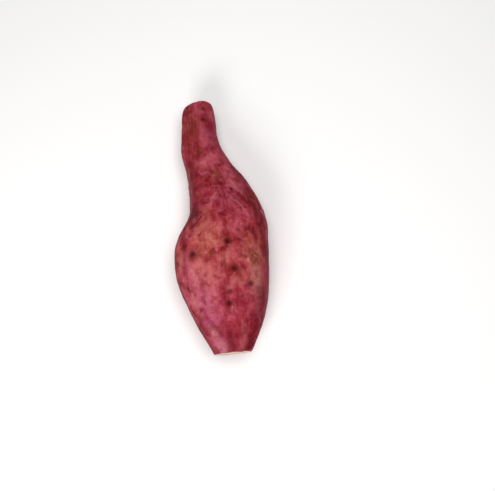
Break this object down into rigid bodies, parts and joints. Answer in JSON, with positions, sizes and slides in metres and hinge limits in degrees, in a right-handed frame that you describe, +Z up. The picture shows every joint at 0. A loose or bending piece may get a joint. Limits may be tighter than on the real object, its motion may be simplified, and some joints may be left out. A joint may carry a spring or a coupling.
{
  "type": "sweet potato",
  "caption": "Whole red-skinned sweet potato with a fat belly and a narrow neck, trimmed at both ends, lying on a small flat spot.",
  "frame": {"origin": "on the surface that the root lies on, under the middle of the root's bounding box", "axes": "+Y along the root towards its neck, +X to the right as seen from the thick end's cut, +Z up"},
  "size_m": [0.0666, 0.1772, 0.0601],
  "materials": {
    "skin": "washed root skin, half matt, plum red with brown scurf and dark eyes"
  },
  "bodies": {
    "root": {"sweet_potato": "skin"}
  },
  "joints": []
}
